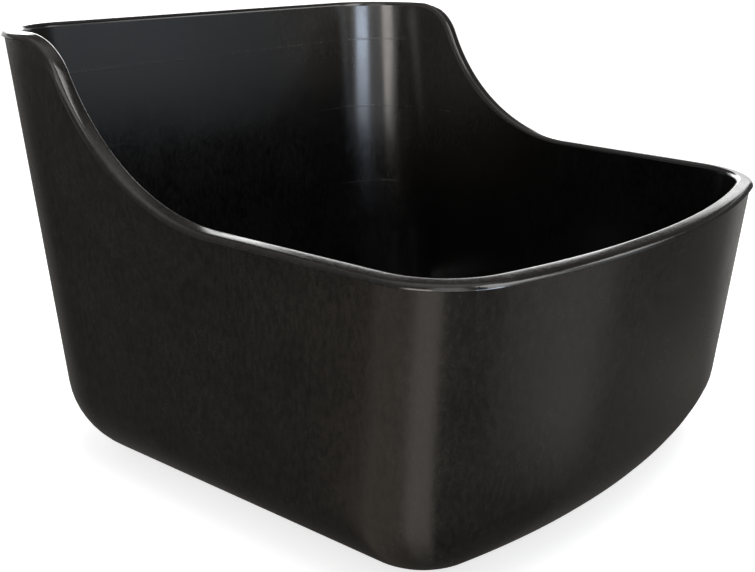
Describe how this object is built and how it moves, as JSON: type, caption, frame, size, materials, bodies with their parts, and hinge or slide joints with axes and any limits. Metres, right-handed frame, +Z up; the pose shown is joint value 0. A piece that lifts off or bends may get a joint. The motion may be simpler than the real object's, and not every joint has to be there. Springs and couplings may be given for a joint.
{
  "type": "horse feed tub",
  "caption": "Open-topped horse feed tub with a flat high back, swept side rims, a low bowed front and a pull-out plug in its floor.",
  "frame": {"origin": "on the line of the ground, under the middle of the tub's width and depth", "axes": "+Z up, the flat high back faces +Y, the low bowed front faces -Y, +X to the right of someone who looks in over the front"},
  "size_m": [0.5124, 0.54, 0.378],
  "materials": {
    "polyethylene": "satin black polyethylene with a fine grain outside, smoother inside",
    "plug_rubber": "dull black rubber"
  },
  "bodies": {
    "tub": {"tub": "polyethylene"},
    "drain_plug": {"drain_plug": "plug_rubber"}
  },
  "joints": [
    {"name": "drain_pull", "type": "slide", "parent": "tub", "child": "drain_plug", "axis": [0, 0, 1], "range_m": [0, 0.06]}
  ]
}
